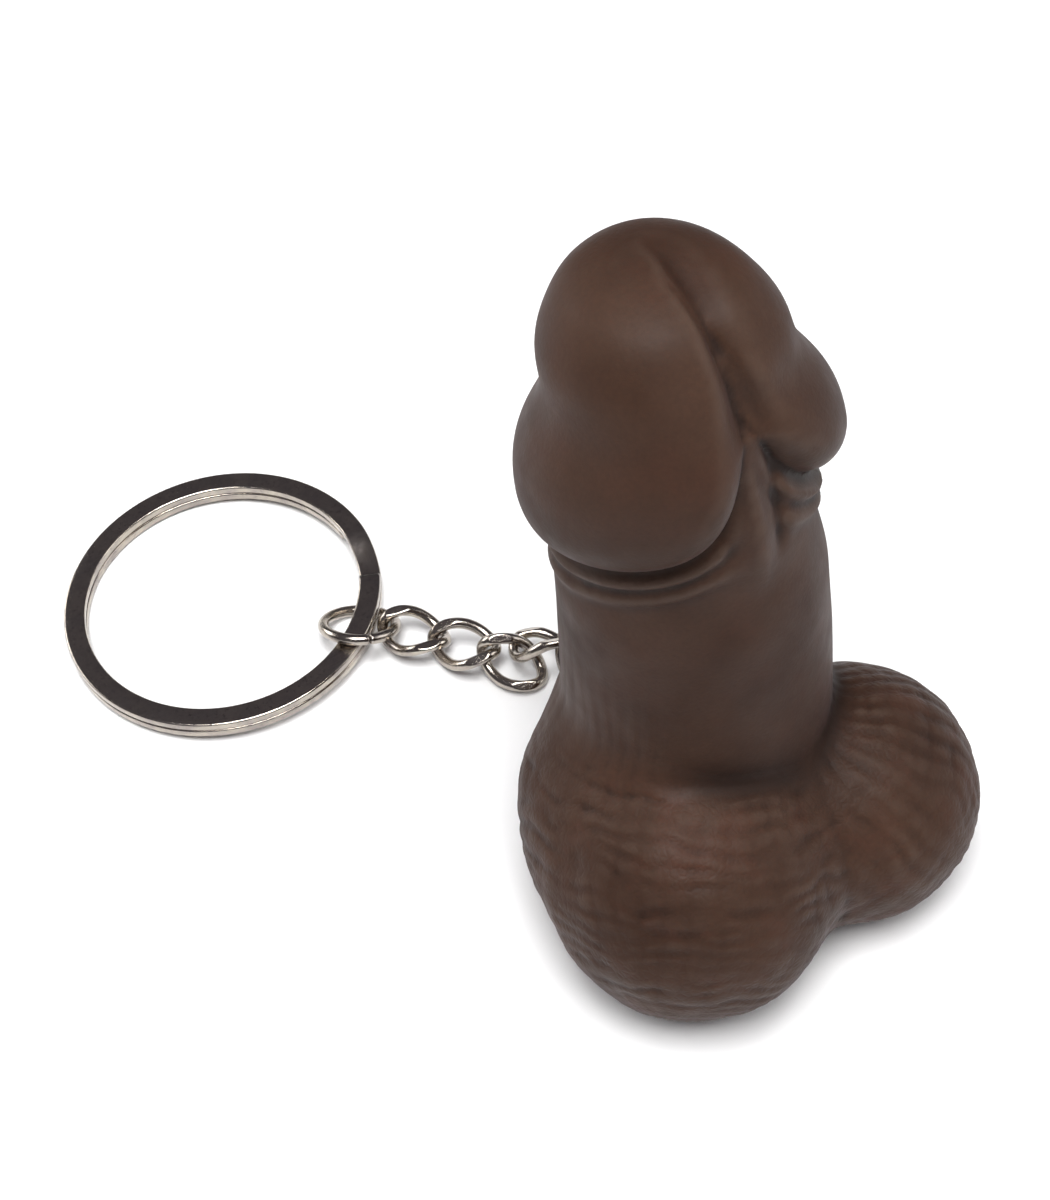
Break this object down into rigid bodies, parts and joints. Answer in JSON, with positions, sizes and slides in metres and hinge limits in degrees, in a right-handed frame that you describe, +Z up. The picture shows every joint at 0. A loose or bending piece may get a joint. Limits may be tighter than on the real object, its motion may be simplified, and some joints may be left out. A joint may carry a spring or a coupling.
{
  "type": "keychain",
  "caption": "Keychain with a free-standing moulded adult novelty figure, a short curb chain and a flat split ring for keys.",
  "frame": {"origin": "on the figure's flat base, below its shaft", "axes": "+Z up out of the flat base, the figure faces -Y and the chain leaves its back towards +Y"},
  "size_m": [0.0573, 0.0806, 0.0679],
  "materials": {
    "soft_plastic": "matt moulded soft PVC",
    "nickel": "polished nickel plating"
  },
  "bodies": {
    "figure_body": {"figure": "soft_plastic", "screw_eye": "nickel"},
    "eye_ring_body": {"eye_jump_ring": "nickel"},
    "link_4_body": {"chain_link_4": "nickel"},
    "link_3_body": {"chain_link_3": "nickel"},
    "link_2_body": {"chain_link_2": "nickel"},
    "link_1_body": {"chain_link_1": "nickel"},
    "key_jump_ring_body": {"key_jump_ring": "nickel"},
    "split_ring_body": {"split_ring": "nickel"}
  },
  "joints": [
    {"name": "eye_ring_swing", "type": "hinge", "parent": "figure_body", "child": "eye_ring_body", "pos_m": [0.00058, 0.01671, 0.00573], "axis": [-0.5877, 0.0127, 0.809], "range_deg": [-45, 25]},
    {"name": "link_4_swing", "type": "hinge", "parent": "eye_ring_body", "child": "link_4_body", "pos_m": [-0.0014, 0.02159, 0.00422], "axis": [0.5169, 0.4366, 0.7364], "range_deg": [-45, 45]},
    {"name": "link_3_swing", "type": "hinge", "parent": "link_4_body", "child": "link_3_body", "pos_m": [-0.00425, 0.02519, 0.00224], "axis": [-0.7356, -0.6335, -0.24], "range_deg": [-50, 40]},
    {"name": "link_2_swing", "type": "hinge", "parent": "link_3_body", "child": "link_2_body", "pos_m": [-0.00695, 0.0262, 0.00316], "axis": [-0.396, 0.1968, -0.8969], "range_deg": [-20, 45]},
    {"name": "link_1_swing", "type": "hinge", "parent": "link_2_body", "child": "link_1_body", "pos_m": [-0.01004, 0.03017, 0.00203], "axis": [0.2674, 0.321, 0.9085], "range_deg": [-45, 45]},
    {"name": "jump_ring_swing", "type": "hinge", "parent": "link_1_body", "child": "key_jump_ring_body", "pos_m": [-0.01303, 0.03414, 0.00227], "axis": [0.489, 0.351, 0.7985], "range_deg": [-60, 40]},
    {"name": "split_ring_swing", "type": "hinge", "parent": "key_jump_ring_body", "child": "split_ring_body", "pos_m": [-0.01465, 0.03507, 0.00226], "axis": [0.6487, -0.7596, 0.0466], "range_deg": [0, 110]}
  ]
}
